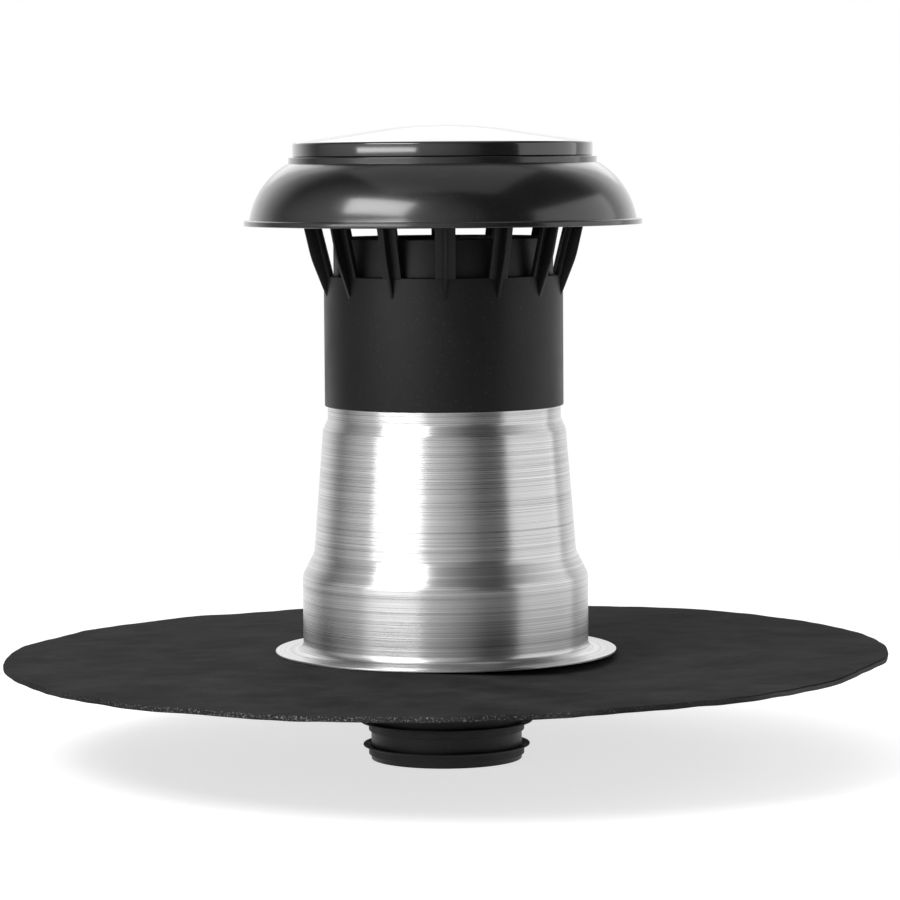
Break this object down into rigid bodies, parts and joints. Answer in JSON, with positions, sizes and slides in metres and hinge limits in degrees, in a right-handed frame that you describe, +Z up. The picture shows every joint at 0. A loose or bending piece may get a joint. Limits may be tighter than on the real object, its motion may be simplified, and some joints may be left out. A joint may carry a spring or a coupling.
{
  "type": "flat-roof vent terminal with flashing membrane",
  "caption": "Flat-roof vent terminal: rain hood and ribbed vent sleeve on a spun aluminium body, with a round flashing membrane and a lip-sealed spigot below.",
  "frame": {"origin": "on the pipe's axis at the underside of the flashing membrane, which is the plane of the roof", "axes": "+Z up along the pipe's axis; -Y is the side that the picture shows"},
  "size_m": [0.4089, 0.409, 0.2926],
  "materials": {
    "cowl_plastic": "glossy moulded black",
    "sleeve_plastic": "satin moulded black",
    "duct_plastic": "satin black",
    "foam": "beaded foam, hidden",
    "spun_aluminium": "spun, with fine rings from the lathe",
    "membrane": "matte black sheet with a cut edge",
    "seal_rubber": "matte black"
  },
  "bodies": {
    "root": {"cowl_lid": "cowl_plastic", "rain_hood": "cowl_plastic", "vent_sleeve": "sleeve_plastic", "inner_duct": "duct_plastic", "foam_sleeve": "foam", "aluminium_body": "spun_aluminium", "flashing_membrane": "membrane", "upper_lip_seal": "seal_rubber", "lower_lip_seal": "seal_rubber"}
  },
  "joints": []
}
